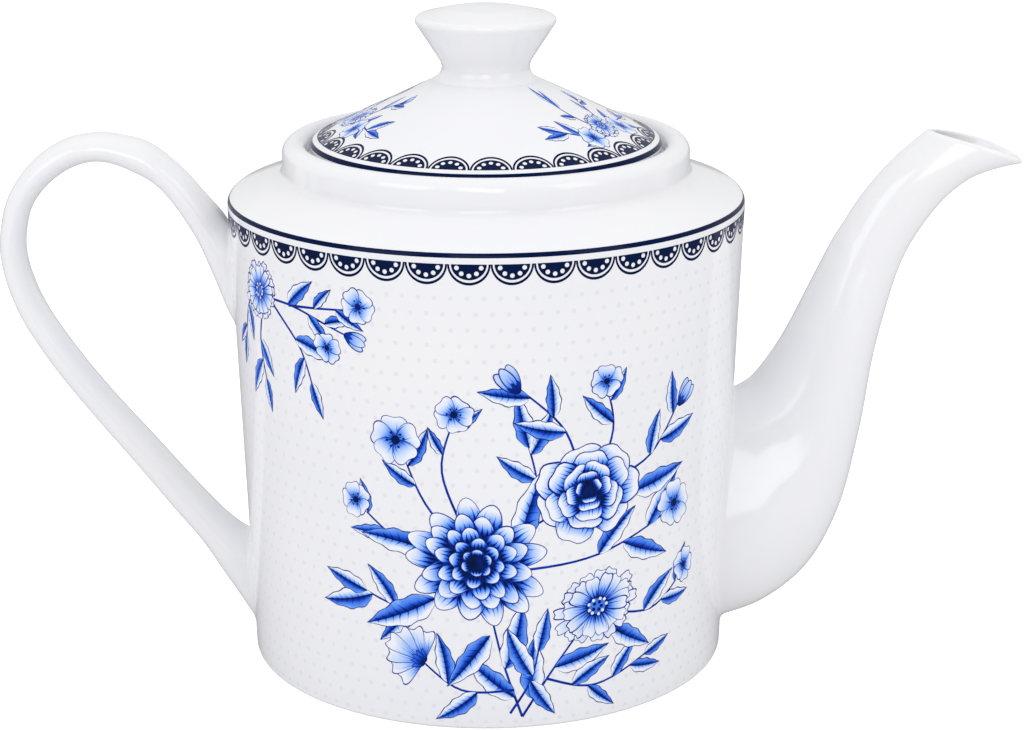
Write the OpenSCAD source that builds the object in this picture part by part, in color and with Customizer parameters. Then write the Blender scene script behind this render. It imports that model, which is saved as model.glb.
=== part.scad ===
// Porcelain teapot with a straight-sided pot, a swan-neck spout, a loop handle and a lift-off lid.
// Millimetres. +Z is up, +X points along the spout, and the origin is on the pot's axis,
// on the surface that the foot stands on.

/* [Pot] */
// Radius of the wall where it would meet the table
foot_r = 58.8; // [54:0.1:62]
// Radius of the shoulder's edge, before it is rounded
shoulder_r = 62.65; // [58:0.05:76]
// Height of the shoulder's edge, before it is rounded
shoulder_h = 115.65; // [96:0.05:139]
// Rounding between the wall and the shoulder
shoulder_round = 2.9; // [1.5:0.1:5]
// Slope of the shoulder, in degrees
shoulder_slope = 21.5; // [15:0.5:26]
// Thickness of the wall and the shoulder
wall = 3.4; // [2.4:0.1:4.6]
// Thickness of the floor
floor_t = 4; // [3:0.1:6]
// Width of the foot ring that the pot stands on
foot_ring = 5.5; // [4:0.1:8]
// Depth of the hollow inside the foot ring
foot_recess = 2.2; // [1:0.1:4]
// Rounding of the foot's outer edge
foot_round = 0.8; // [0.4:0.1:1.5]

/* [Collar and mouth] */
// Outer radius of the raised collar around the lid
collar_r = 49.2; // [46:0.1:52]
// Height of the collar above the shoulder where the two meet
collar_rise = 7.75; // [5:0.05:11]
// Width of the collar's roll
collar_w = 6.1; // [4.8:0.1:7.4]
// Depth of the lid's seat below the collar's top
seat_depth = 3.8; // [3:0.1:5]
// Width of the seat that the lid's rim rests on
seat_w = 5.3; // [4.2:0.1:6.4]

/* [Lid] */
// Clearance between the lid's rim and the collar
rim_gap = 0.8; // [0.4:0.1:1.2]
// Gap between the lid's rim and its seat
seat_gap = 0.2; // [0.1:0.05:0.3]
// Clearance between the locating flange and the mouth
flange_gap = 1; // [0.6:0.1:1.6]
// Thickness of the locating flange
flange_t = 3.2; // [2.4:0.1:4]
// Depth of the locating flange below the seat
flange_depth = 11.5; // [8:0.5:14]
// Height of the lid's edge above its underside
rim_t = 3.35; // [2.6:0.05:4.4]
// Slope of the lid's cone, in degrees
lid_slope = 26; // [20:0.5:30]
// Thickness of the lid's cone
lid_t = 3; // [2.4:0.1:3.8]
// Radius of the steam vent
vent_r = 1.6; // [1:0.1:2.2]
// Distance of the steam vent from the axis
vent_at = 21; // [18:0.5:26]

/* [Knob] */
// Radius of the neck
neck_r = 10.6; // [9:0.1:12.5]
// Radius of the flared top, before its edge is rounded
knob_r = 17.7; // [15:0.1:21]
// Height of the flared top's edge above the neck's foot
knob_rise = 13.9; // [11:0.1:16.5]
// Height of the domed top above its edge
knob_dome = 2.5; // [1.5:0.1:3.5]
// Radius of the hollow inside the knob
hollow_r = 5.5; // [4:0.1:7]

/* [Spout] */
// How far the tip of the pouring lip stands out from the shoulder's edge
spout_out = 67; // [55:0.5:80]
// Height of the mouth's upper edge above the shoulder's edge
spout_rise = 14.8; // [10:0.1:20]
// Height of the root's lowest point
root_low = 5.2; // [4:0.1:8]
// Height of the root, along the wall
root_high = 60.5; // [50:0.5:70]
// Half the width of the root, at its middle
root_half = 19.5; // [15:0.1:23]
// Depth of the neck, just below the mouth
throat_deep = 17; // [14:0.1:20]
// Half the width of the neck
throat_half = 7.8; // [6.5:0.1:9.5]
// Length of the mouth, from its upper edge to the lip
mouth_long = 24.2; // [20:0.1:29]
// Thickness of the spout's wall
spout_wall = 2.6; // [1.8:0.1:3.2]
// Radius of each strainer hole
hole_r = 2.2; // [1.5:0.1:2.6]
// Distance between neighbouring strainer holes
hole_pitch = 7; // [6.4:0.1:8]

/* [Handle] */
// How far the outside of the loop stands out from the shoulder's edge
handle_out = 56; // [44:0.5:68]
// Height of the top of the loop above the shoulder's edge
handle_rise = 13.8; // [5:0.1:25]
// Height of the middle of the lower root
handle_low = 16; // [14:0.1:22]
// Thickness of the strap along the loop
strap_t = 6.2; // [4.5:0.1:8]
// Height of the strap where it meets the pot
strap_root_h = 25; // [20:0.5:28]
// Half the width of the strap, across the hand
strap_half = 6.2; // [4.5:0.1:8]
// Half the width of the strap where it meets the pot
strap_root_half = 8.4; // [6:0.1:11]

/* [Hidden] */

// The slip that joins two castings, as the clearance between their solids
luting = 0.08;
$fn = 96;

// Heights of the surfaces that meet each other
function wall_r(z) = foot_r + (shoulder_r - foot_r) * z / shoulder_h;
function shoulder_z(r) = shoulder_h + (shoulder_r - r) * tan(shoulder_slope);
lean = atan((shoulder_r - foot_r) / shoulder_h);
under_shoulder = wall / cos(shoulder_slope);
floor_z = foot_recess + floor_t;
collar_top = shoulder_z(collar_r) + collar_rise;
seat_r = collar_r - collar_w;
seat_z = collar_top - seat_depth;
mouth_r = seat_r - seat_w;

// The lid's sizes follow the seat and the mouth
lid_r = seat_r - rim_gap;
lid_z = seat_z + seat_gap;
flange_r = mouth_r - flange_gap;
flange_in = flange_r - flange_t;
flange_z = seat_z - flange_depth;
function lid_top(r) = lid_z + rim_t + (lid_r - r) * tan(lid_slope);
under_lid = lid_t / cos(lid_slope);
neck_foot = lid_top(neck_r);
neck_round = 3.4;
neck_flare = 3;
pad_r = neck_r + neck_round / tan(45 + lid_slope / 2) * cos(lid_slope);
pad_z = lid_top(pad_r);

// Under the knob's pad the lid's underside is a flat ceiling out to this radius
ceiling_z = pad_z - lid_t;
ceiling_r = lid_r - (ceiling_z + under_lid - lid_z - rim_t) / tan(lid_slope);
knob_edge = neck_foot + knob_rise;

// Rounds each corner [x, z, radius] of an outline with an arc; radius 0 keeps the corner
function arc_steps(turn) = max(2, ceil(turn / 11));
function corner_arc(a, b, c, r) =
    let (u = (a - b) / norm(a - b))
    let (v = (c - b) / norm(c - b))
    let (angle = acos(u * v))
    let (centre = b + (u + v) / norm(u + v) * r / sin(angle / 2))
    let (from = b + u * r / tan(angle / 2) - centre)
    let (side = u.x * v.y - u.y * v.x > 0 ? 1 : -1)
    let (turn = 180 - angle)
    let (n = arc_steps(turn))
    [for (k = [0:n]) let (t = -side * turn * k / n)
        centre + [from.x * cos(t) - from.y * sin(t), from.x * sin(t) + from.y * cos(t)]];
function xz(corner) = [corner[0], corner[1]];
function rounded(corners) =
    let (n = len(corners))
    [for (i = [0:n - 1])
        each corners[i][2] == 0 ? [xz(corners[i])]
            : corner_arc(xz(corners[(i + n - 1) % n]), xz(corners[i]),
                         xz(corners[(i + 1) % n]), corners[i][2])];

// A smooth curve through a list of equal-length vectors, at u from 0 to 1 along piece i
function through(p, i, u) =
    let (a = p[max(i - 1, 0)])
    let (b = p[i])
    let (c = p[i + 1])
    let (d = p[min(i + 2, len(p) - 1)])
    (2 * b + (c - a) * u + (2 * a - 5 * b + 4 * c - d) * u * u
        + (3 * b - 3 * c + d - a) * u * u * u) / 2;
function smooth(p, steps) =
    concat([for (i = [0:len(p) - 2]) for (k = [0:steps - 1]) through(p, i, k / steps)],
           [p[len(p) - 1]]);

// One oval section of a tube that lies in the XZ plane. A station is the section's middle [x, z],
// the length and the angle of its long axis, its half width along Y, and how much wider it is
// towards the end that its angle points away from.
function section(s, inset, sides) =
    let (reach = (s[2] / 2 - inset) * [cos(s[3]), sin(s[3])])
    [for (k = [0:sides - 1]) let (t = 360 * k / sides)
        [s[0] + reach.x * cos(t),
         (s[4] - inset) * sin(t) * (1 - s[5] * cos(t)),
         s[1] + reach.y * cos(t)]];

// Slides a section along X until it lies on the pot's wall
function on_wall(points, side, gap) =
    [for (p = points) [side * sqrt(pow(wall_r(p.z) + gap, 2) - p.y * p.y), p.y, p.z]];

// A section drawn in towards its middle, for the rings of an end face
function shrunk(points, share) =
    let (middle = [for (axis = [0:2]) (points[0][axis] + points[len(points) / 2][axis]) / 2])
    [for (p = points) middle + (p - middle) * share];

// Triangles between two neighbouring rings of points
function band(first, second, sides, flip = false) =
    [for (k = [0:sides - 1])
        let (a = first * sides + k)
        let (b = first * sides + (k + 1) % sides)
        let (c = second * sides + (k + 1) % sides)
        let (d = second * sides + k)
        each flip ? [[a, b, c], [a, c, d]] : [[a, c, b], [a, d, c]]];
function flat_list(lists) = [for (l = lists) each l];

module body() {
    ring_in = foot_r - foot_ring;
    inner_r = shoulder_r - wall;
    floor_r = wall_r(floor_z) - wall;
    color("white")
    difference() {
        rotate_extrude()
        polygon(rounded([
            [0, foot_recess, 0],
            [ring_in, foot_recess, 1],
            [ring_in + foot_recess / 2, 0, 0],
            [foot_r, 0, foot_round],
            [shoulder_r, shoulder_h, shoulder_round],
            [collar_r, shoulder_z(collar_r), 1.8],
            [collar_r, collar_top, collar_w / 2 - 0.02],
            [seat_r, collar_top, collar_w / 2 - 0.02],
            [seat_r, seat_z, 0.4],
            [mouth_r, seat_z, 1],
            [mouth_r, shoulder_z(mouth_r) - under_shoulder, 1],
            [inner_r, shoulder_z(inner_r) - under_shoulder, 4],
            [floor_r, floor_z, 7],
            [0, floor_z, 0]]));
        strainer_holes();
    }
}

// Holes through the wall behind the spout, in staggered rows
module strainer_holes() {
    rows = 5;
    row_h = hole_pitch * sin(60);
    for (row = [0:rows - 1]) {
        count = row % 2 == 0 ? 2 : 3;
        for (i = [0:count - 1])
            translate([foot_r - 2 * wall, (i - (count - 1) / 2) * hole_pitch,
                       spout_middle + (row - (rows - 1) / 2) * row_h])
            rotate([0, 90, 0])
            cylinder(r = hole_r, h = 5 * wall);
    }
}

// The spout's sections from the wall to the mouth, as shares of the way: how far out, how far
// up, how deep and how wide between the neck and the root, with the long axis's angle and the
// extra width of the belly. The angle is for an upright wall, and follows the wall's lean.
spout_sides = 36;
spout_middle = root_low + root_high / 2;
mouth_angle = 163;
mouth_x = shoulder_r + spout_out + mouth_long / 2 * cos(mouth_angle);
mouth_z = shoulder_h + spout_rise - mouth_long / 2 * sin(mouth_angle);
mouth_share = (mouth_long - throat_deep) / (root_high - throat_deep);
spout_shares = [
    [0, 0, 1, 90, 1, 0.26],
    [0.13, 0.04, 0.97, 96, 0.95, 0.25],
    [0.255, 0.12, 0.89, 103.5, 0.79, 0.22],
    [0.35, 0.238, 0.73, 109, 0.62, 0.17],
    [0.416, 0.388, 0.46, 116, 0.45, 0.1],
    [0.478, 0.559, 0.18, 126.5, 0.28, 0.04],
    [0.562, 0.719, 0.01, 147, 0.11, 0],
    [0.675, 0.842, 0, 161, 0.03, 0],
    [0.814, 0.933, 0.046, 165, 0, 0],
    [1, 1, mouth_share, mouth_angle, -0.04, 0.12]];
spout_stations = [for (s = spout_shares)
    let (z = spout_middle + s[1] * (mouth_z - spout_middle))
    [wall_r(z) + s[0] * (mouth_x - wall_r(z)), z,
     throat_deep + s[2] * (root_high - throat_deep), s[3] - s[4] * lean,
     throat_half + s[4] * (root_half - throat_half), s[5]]];

module spout() {
    steps = 3;
    sides = spout_sides;
    stations = smooth(spout_stations, steps);
    last = len(stations) - 1;
    outer = [for (i = [0:last]) section(stations[i], 0, sides)];
    // The wall thins towards the mouth, so that the lip pours cleanly
    inner = [for (i = [0:last]) section(stations[i], spout_wall * (1 - 0.4 * i / last), sides)];
    rings = concat([on_wall(outer[0], 1, luting)], [for (i = [1:last]) outer[i]],
                   [on_wall(inner[0], 1, luting)], [for (i = [1:last]) inner[i]]);
    color("white")
    polyhedron(flat_list(rings), concat(
        flat_list([for (i = [0:last - 1]) band(i, i + 1, sides)]),
        flat_list([for (i = [0:last - 1]) band(last + 1 + i, last + 2 + i, sides, true)]),
        band(0, last + 1, sides, true),
        band(last, 2 * last + 1, sides)), convexity = 8);
}

// The handle's sections from the upper root to the lower one, as shares of the way: how far
// out, how far up, how deep and how wide between the strap and its root, with the long axis's
// angle, which runs from the inside of the loop to the outside and follows the wall's lean
handle_sides = 24;
loop_x = shoulder_r + handle_out - strap_t / 2;
loop_z = shoulder_h + handle_rise - strap_t / 2;
handle_shares = [
    [0, 0.707, 1, 90, 1],
    [0.038, 0.745, 0.97, 90.4, 0.86],
    [0.104, 0.807, 0.8, 95, 0.55],
    [0.188, 0.879, 0.61, 100.5, 0.18],
    [0.32, 0.955, 0.3, 103, 0],
    [0.45, 0.987, 0.12, 98, 0],
    [0.578, 1, 0.04, 95, 0],
    [0.708, 0.989, 0.04, 111, 0],
    [0.825, 0.956, 0.03, 129, 0],
    [0.917, 0.909, 0.01, 150, 0],
    [0.978, 0.85, 0, 171, 0],
    [1, 0.755, 0, 186, 0],
    [0.938, 0.644, 0.02, 205, 0],
    [0.806, 0.53, 0.04, 212, 0],
    [0.639, 0.416, 0.05, 217, 0],
    [0.469, 0.31, 0.08, 218, 0],
    [0.303, 0.203, 0.11, 219, 0.14],
    [0.164, 0.115, 0.18, 239, 0.5],
    [0.08, 0.055, 0.5, 261, 0.86],
    [0, 0, 0.92, 270, 1]];
handle_stations = [for (s = handle_shares)
    let (z = handle_low + s[1] * (loop_z - handle_low))
    [-wall_r(z) - s[0] * (loop_x - wall_r(z)), z,
     strap_t + s[2] * (strap_root_h - strap_t), s[3] + s[4] * lean,
     strap_half + s[4] * (strap_root_half - strap_half), 0]];

module handle() {
    steps = 3;
    sides = handle_sides;
    cap_rings = 4;
    stations = smooth(handle_stations, steps);
    last = len(stations) - 1;
    strap = [for (i = [0:last]) section(stations[i], 0, sides)];
    // Each end face follows the wall, as rings that close in on its middle
    first_cap = [for (k = [1:cap_rings]) on_wall(shrunk(strap[0], k / cap_rings), -1, luting)];
    last_cap = [for (k = [1:cap_rings]) on_wall(shrunk(strap[last], 1 - (k - 1) / cap_rings), -1, luting)];
    rings = concat(first_cap, [for (i = [1:last - 1]) strap[i]], last_cap);
    points = flat_list(rings);
    ends = [on_wall([(strap[0][0] + strap[0][sides / 2]) / 2], -1, luting)[0],
            on_wall([(strap[last][0] + strap[last][sides / 2]) / 2], -1, luting)[0]];
    count = len(rings);
    color("white")
    polyhedron(concat(points, ends), concat(
        flat_list([for (i = [0:count - 2]) band(i, i + 1, sides)]),
        [for (k = [0:sides - 1]) [k, (k + 1) % sides, len(points)]],
        [for (k = [0:sides - 1])
            [(count - 1) * sides + (k + 1) % sides, (count - 1) * sides + k, len(points) + 1]]),
        convexity = 8);
}

module lid() {
    color("white")
    difference() {
        rotate_extrude()
        polygon(rounded([
            [hollow_r, pad_z, 0],
            [pad_r, pad_z, 0],
            [lid_r, lid_z + rim_t, 1.6],
            [lid_r, lid_z, 0.8],
            [flange_r, lid_z, 0.5],
            [flange_r, flange_z, 1.2],
            [flange_in, flange_z, 1.2],
            [flange_in, lid_top(flange_in) - under_lid, 4],
            [ceiling_r, ceiling_z, 3],
            [hollow_r, ceiling_z, 0.8]]));
        translate([0, vent_at, seat_z])
        cylinder(r = vent_r, h = 2 * rim_t + lid_r * tan(lid_slope));
    }
}

module lid_knob() {
    base = pad_z + luting;
    color("white")
    rotate_extrude()
    polygon(rounded([
        [hollow_r, base, 0],
        [pad_r, base, 0],
        [neck_r, neck_foot, neck_round],
        [neck_r, neck_foot + neck_flare, 4],
        [knob_r, knob_edge, 1.3],
        [knob_r / 2, knob_edge + 0.85 * knob_dome, 14],
        [0, knob_edge + knob_dome, 0],
        [0, knob_edge - 3, 0],
        [hollow_r, knob_edge - 4.5, 2.5]]));
}

body();
spout();
handle();
lid();
lid_knob();
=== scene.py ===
"""A blue-and-white porcelain teapot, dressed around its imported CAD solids.

Lengths are in millimetres until MM turns them into metres at the mesh. The pot stands on z = 0
with its axis on Z, its spout along +X and its front along -Y. Each of the five castings replaces
its CAD node. The prints are thin closed films of glaze colour that ride on the castings.
"""

import math
from collections import namedtuple

import bpy
import numpy as np
from mathutils import Matrix, Vector
from mathutils.geometry import delaunay_2d_cdt


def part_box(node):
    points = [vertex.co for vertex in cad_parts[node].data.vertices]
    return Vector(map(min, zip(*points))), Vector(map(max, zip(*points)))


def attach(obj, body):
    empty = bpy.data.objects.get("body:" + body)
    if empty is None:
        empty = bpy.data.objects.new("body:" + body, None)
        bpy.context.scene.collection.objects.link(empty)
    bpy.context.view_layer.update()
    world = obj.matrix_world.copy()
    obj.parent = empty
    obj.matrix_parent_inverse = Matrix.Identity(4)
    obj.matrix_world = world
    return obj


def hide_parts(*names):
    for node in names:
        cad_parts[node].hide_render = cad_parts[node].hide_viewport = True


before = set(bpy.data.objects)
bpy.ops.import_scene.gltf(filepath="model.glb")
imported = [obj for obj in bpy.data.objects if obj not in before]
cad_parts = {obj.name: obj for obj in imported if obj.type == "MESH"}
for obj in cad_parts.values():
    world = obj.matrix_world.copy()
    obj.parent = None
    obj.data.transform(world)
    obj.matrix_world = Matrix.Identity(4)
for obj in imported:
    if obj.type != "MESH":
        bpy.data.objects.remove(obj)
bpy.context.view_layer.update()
MM = 0.001
TAU = 2 * math.pi

# ---- Camera, floor and light ----
IMAGE_W = 1024
SENSOR_W = 36
FOCAL_PX = 2498.7
CAMERA_AT = (6.17, -592.98, 250.17)
CAMERA_PITCH = 16.80
CAMERA_ROLL = -0.08
CLIP_NEAR, CLIP_FAR = 0.05, 20
AIM = (0, 0, 70)
SOFTBOXES = (("key", (-540, -520, 450), (420, 420), 1.05), ("fill", (520, -420, 420), (300, 500), 0.75))
# The light by its direction: ranges of the height or the depth, and of the strength there
SKY_TINT, SKY_HEIGHT, SKY_STRENGTH = (0.985, 0.982, 0.995, 1), (-0.2, 1.0), (0.615, 1.07)
ROOM_TINT, ROOM_DEPTH, ROOM_STRENGTH = (0.98, 0.985, 1, 1), (-0.4, 0.5), (0.25, 0.75)
# The window's middle and half size, its lean, its brightness and how sharp its edge is
WINDOW_ACROSS, WINDOW_UP, WINDOW_LEAN = (-0.03, 0.22), (0.335, 0.265), 0.5
WINDOW_GLOW, WINDOW_EDGE = 2.6, 30.0
FLOOR_HALF = 4.0
PAPER, PAPER_GLOW, PAPER_DIMMED = (0.86, 0.86, 0.87, 1), 0.53, (0.4, 0.4, 0.41, 1)
WHITE = (1, 1, 1, 1)


def make_camera():
    pitch, roll = math.radians(CAMERA_PITCH), math.radians(CAMERA_ROLL)
    ahead = Vector((0, math.cos(pitch), -math.sin(pitch)))
    up = Vector((0, math.sin(pitch), math.cos(pitch)))
    right = Vector((1, 0, 0))
    tilted_right = math.cos(roll) * right + math.sin(roll) * up
    tilted_up = math.cos(roll) * up - math.sin(roll) * right
    data = bpy.data.cameras.new("view")
    data.sensor_fit = "HORIZONTAL"
    data.sensor_width = SENSOR_W
    data.lens = FOCAL_PX * SENSOR_W / IMAGE_W
    data.clip_start, data.clip_end = CLIP_NEAR, CLIP_FAR
    camera = bpy.data.objects.new("view", data)
    axes = Matrix((tilted_right, tilted_up, -ahead)).transposed().to_4x4()
    camera.matrix_world = Matrix.Translation(Vector(CAMERA_AT) * MM) @ axes
    bpy.context.collection.objects.link(camera)
    bpy.context.scene.camera = camera


def softbox(name, at, size, power):
    data = bpy.data.lights.new(name, "AREA")
    data.shape = "RECTANGLE"
    data.size, data.size_y = size[0] * MM, size[1] * MM
    data.energy = power
    light = bpy.data.objects.new(name, data)
    place, target = Vector(at) * MM, Vector(AIM) * MM
    light.location = place
    light.rotation_euler = (target - place).to_track_quat("-Z", "Y").to_euler()
    bpy.context.collection.objects.link(light)


def new_nodes(tree):
    """Clears a node tree and gives a function that adds a node with some of its inputs set."""
    tree.nodes.clear()

    def add(kind, settings=None, **inputs):
        node = tree.nodes.new("ShaderNode" + kind)
        for key, value in (settings or {}).items():
            setattr(node, key, value)
        for key, value in inputs.items():
            socket = node.inputs[int(key[1:])] if key[0] == "_" else node.inputs[key.replace("_", " ")]
            if isinstance(value, bpy.types.NodeSocket):
                tree.links.new(value, socket)
            else:
                socket.default_value = value
        return node

    return add


def maths(add):
    """Short-hand for a tree's math nodes."""
    def calc(operation, *values, clamp=False):
        settings = {"operation": operation, "use_clamp": clamp}
        return add("Math", settings, **{f"_{i}": value for i, value in enumerate(values)}).outputs[0]

    return calc


def mapped(add, value, source, target):
    """A value carried over from one range to another."""
    return add("MapRange", Value=value, From_Min=source[0], From_Max=source[1],
               To_Min=target[0], To_Max=target[1]).outputs[0]


def new_material(name):
    """A material, and the function that adds nodes to it."""
    material = bpy.data.materials.new(name)
    material.use_nodes = True
    return material, new_nodes(material.node_tree)


def seen_by(add, *kinds):
    """1 for rays of the named kinds, such as those from the camera."""
    path, calc = add("LightPath"), maths(add)
    total = 0.0
    for kind in kinds:
        total = calc("ADD", path.outputs[f"Is {kind} Ray"], total, clamp=True)
    return total


def by_ray(add, lit, reflected, seen):
    """Three looks in one: what lights things, what the glaze reflects and what the camera sees."""
    glossy = add("MixShader", _0=seen_by(add, "Glossy"), _1=lit.outputs[0], _2=reflected.outputs[0])
    direct = seen_by(add, "Camera", "Transmission")
    return add("MixShader", _0=direct, _1=glossy.outputs[0], _2=seen.outputs[0]).outputs[0]


def make_world():
    """Soft light, stronger from above; the glaze reflects a pale backdrop and a dim room's window."""
    world = bpy.data.worlds.new("studio")
    bpy.context.scene.world = world
    world.use_nodes = True
    add = new_nodes(world.node_tree)
    calc = maths(add)
    side, depth, height = add("SeparateXYZ", _0=add("TexCoord").outputs["Generated"]).outputs
    lit = add("Background", Color=SKY_TINT, Strength=mapped(add, height, SKY_HEIGHT, SKY_STRENGTH))
    back = mapped(add, depth, ROOM_DEPTH, ROOM_STRENGTH)
    glow = calc("MULTIPLY", calc("LESS_THAN", depth, 0.0), WINDOW_GLOW)
    leaning = calc("MULTIPLY_ADD", side, WINDOW_LEAN, height)
    for share, middle, half in ((side, *WINDOW_ACROSS), (leaning, *WINDOW_UP)):
        within = calc("SUBTRACT", half, calc("ABSOLUTE", calc("SUBTRACT", share, middle)))
        glow = calc("MULTIPLY", glow, calc("MULTIPLY", within, WINDOW_EDGE, clamp=True))
    room = add("Background", Color=ROOM_TINT, Strength=calc("ADD", back, glow))
    white = add("Background", Color=WHITE, Strength=1.0)
    add("OutputWorld", Surface=by_ray(add, lit, room, white))


def make_floor():
    """Pale paper: brighter for the camera, so that it stays near white, and dimmer in the glaze."""
    half = FLOOR_HALF
    mesh = bpy.data.meshes.new("floor")
    mesh.from_pydata([(-half, -half, 0), (half, -half, 0), (half, half, 0), (-half, half, 0)], [],
                     [(0, 1, 2, 3)])
    floor = bpy.data.objects.new("floor", mesh)
    bpy.context.collection.objects.link(floor)
    material, add = new_material("floor")
    paper = add("BsdfDiffuse", Color=PAPER)
    glow = add("Emission", Color=WHITE, Strength=PAPER_GLOW)
    lifted = add("AddShader", _0=paper.outputs[0], _1=glow.outputs[0])
    dim = add("BsdfDiffuse", Color=PAPER_DIMMED)
    add("OutputMaterial", Surface=by_ray(add, paper, dim, lifted))
    mesh.materials.append(material)


# ---- Sizes, as part.scad has them ----
FOOT_R = 58.8
FOOT_ROUND = 0.8
RECESS_R, RECESS_FLAT_R = 53.3, 54.4
RECESS, FLOOR_Z = 2.2, 6.2
SHOULDER_R = 62.65
SHOULDER_H = 115.65
SHOULDER_ROUND = 2.9
SHOULDER_SLOPE = math.radians(21.5)
WALL = 3.4
COLLAR_R = 49.2
COLLAR_W = 6.1
SEAT_R = COLLAR_R - COLLAR_W
SEAT_DEPTH = 3.8
MOUTH_R = 37.8
COLLAR_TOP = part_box("body")[1][2] / MM
SEAT_Z = COLLAR_TOP - SEAT_DEPTH
FLANGE_R, FLANGE_INNER_R, FLANGE_LOW = 36.8, 33.6, 113.4
FLANGE_DROP = 11.7
LID_GAP = 0.8
LID_R = SEAT_R - LID_GAP
LID_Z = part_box("lid")[0][2] / MM + FLANGE_DROP
LID_RIM_H, LID_RIM_ROUND = 3.35, 1.6
LID_EDGE_Z = LID_Z + LID_RIM_H
LID_SLOPE = math.radians(26)
LID_T = 3.0
NECK_R = 10.6
NECK_ROUND = 3.4
KNOB_R = 17.7
HOLLOW_R = 5.5
KNOB_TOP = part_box("lid_knob")[1][2] / MM
KNOB_DOME = 2.5
KNOB_SUNK = 0.15
HOLLOW_ROOF, HOLLOW_EDGE = 3, 4.5
VENT_AT, VENT_R, VENT_LONG = 21, 1.6, 25
HOLE_R, HOLE_PITCH, HOLES_Z = 2.2, 7.0, 35.45
HOLE_ROWS = (2, 3, 2, 3, 2)
PAD_R = NECK_R + NECK_ROUND / math.tan(math.radians(45) + LID_SLOPE / 2) * math.cos(LID_SLOPE)
AROUND = 192
SHARP = math.radians(35)


def wall_r(z):
    return FOOT_R + (SHOULDER_R - FOOT_R) * z / SHOULDER_H


def shoulder_z(r):
    return SHOULDER_H + (SHOULDER_R - r) * math.tan(SHOULDER_SLOPE)


def lid_top(r):
    return LID_EDGE_Z + (LID_R - r) * math.tan(LID_SLOPE)


PAD_Z = lid_top(PAD_R)


# ---- Mesh helpers ----
SAME, ON_AXIS = 0.001, 1e-6


def unit(v):
    v = np.asarray(v, float)
    return v / np.linalg.norm(v, axis=-1, keepdims=True)


def rounded(corners, step=6, span=4):
    """A closed outline with an arc at each corner (x, z, radius), in steps of span at most."""
    points = []
    for i, (x, z, radius) in enumerate(corners):
        corner = np.array((x, z), float)
        if not radius:
            points.append(corner)
            continue
        u = unit(np.subtract(corners[i - 1][:2], corner))
        v = unit(np.subtract(corners[(i + 1) % len(corners)][:2], corner))
        half = math.acos(u @ v) / 2
        centre = corner + unit(u + v) * radius / math.sin(half)
        start = corner + u * radius / math.tan(half) - centre
        turn = (math.pi - 2 * half) * (-1 if u[0] * v[1] > u[1] * v[0] else 1)
        steps = max(2, math.ceil(math.degrees(abs(turn)) / step))
        for t in turn * np.arange(steps + 1) / steps:
            c, s = math.cos(t), math.sin(t)
            points.append(centre + (start[0] * c - start[1] * s, start[0] * s + start[1] * c))
    filled = []
    for a, b in zip(points, points[1:] + points[:1]):
        length = np.linalg.norm(b - a)
        if length < SAME:
            continue
        filled.append(a)
        if a[0] + b[0] > ON_AXIS:
            pieces = math.ceil(length / span)
            filled += [a + (b - a) * k / pieces for k in range(1, pieces)]
    return filled


def make_object(name, vertices, faces, material):
    mesh = bpy.data.meshes.new(name)
    mesh.from_pydata((np.asarray(vertices) * MM).tolist(), [], faces)
    mesh.materials.append(material)
    mesh.shade_smooth()
    mesh.set_sharp_from_angle(angle=SHARP)
    thing = bpy.data.objects.new(name, mesh)
    bpy.context.collection.objects.link(thing)
    return thing


def revolve(name, outline, material):
    """A solid of revolution from a closed outline; its points on the axis become poles."""
    sides = AROUND
    angles = TAU * np.arange(sides) / sides
    vertices, rings = [], []
    for r, z in outline:
        on_axis = r < ON_AXIS
        rings.append([len(vertices)] if on_axis else list(range(len(vertices), len(vertices) + sides)))
        vertices += [(0, 0, z)] if on_axis else [(r * math.cos(a), r * math.sin(a), z) for a in angles]
    faces = []
    for a, b in zip(rings, rings[1:] + rings[:1]):
        for k in range(sides):
            m = (k + 1) % sides
            corners = a[k % len(a)], a[m % len(a)], b[m % len(b)], b[k % len(b)]
            face = tuple(dict.fromkeys(corners))
            if len(face) > 2:
                faces.append(face)
    return make_object(name, vertices, faces, material)


def drill(thing, holes):
    """Cuts round holes, each (place, direction, radius, length), into a piece."""
    vertices, faces, sides = [], [], 24
    for place, direction, radius, length in holes:
        across = Vector(direction).to_track_quat("Z", "Y").to_matrix()
        first = len(vertices)
        for end in (0, length):
            for k in range(sides):
                a = TAU * k / sides
                corner = Vector((radius * math.cos(a), radius * math.sin(a), end))
                vertices.append(Vector(place) + across @ corner)
        faces.append(tuple(first + k for k in reversed(range(sides))))
        faces.append(tuple(first + sides + k for k in range(sides)))
        for k in range(sides):
            m = (k + 1) % sides
            faces.append((first + k, first + m, first + sides + m, first + sides + k))
    cutter = make_object("cutter", [tuple(v) for v in vertices], faces, thing.data.materials[0])
    cut = thing.modifiers.new("holes", "BOOLEAN")
    cut.operation, cut.solver, cut.object = "DIFFERENCE", "EXACT", cutter
    graph = bpy.context.evaluated_depsgraph_get()
    drilled = bpy.data.meshes.new_from_object(thing.evaluated_get(graph))
    thing.modifiers.clear()
    old, thing.data = thing.data, drilled
    drilled.name = thing.name
    bpy.data.meshes.remove(old)
    bpy.data.objects.remove(cutter)
    drilled.shade_smooth()
    drilled.set_sharp_from_angle(angle=SHARP)


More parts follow.
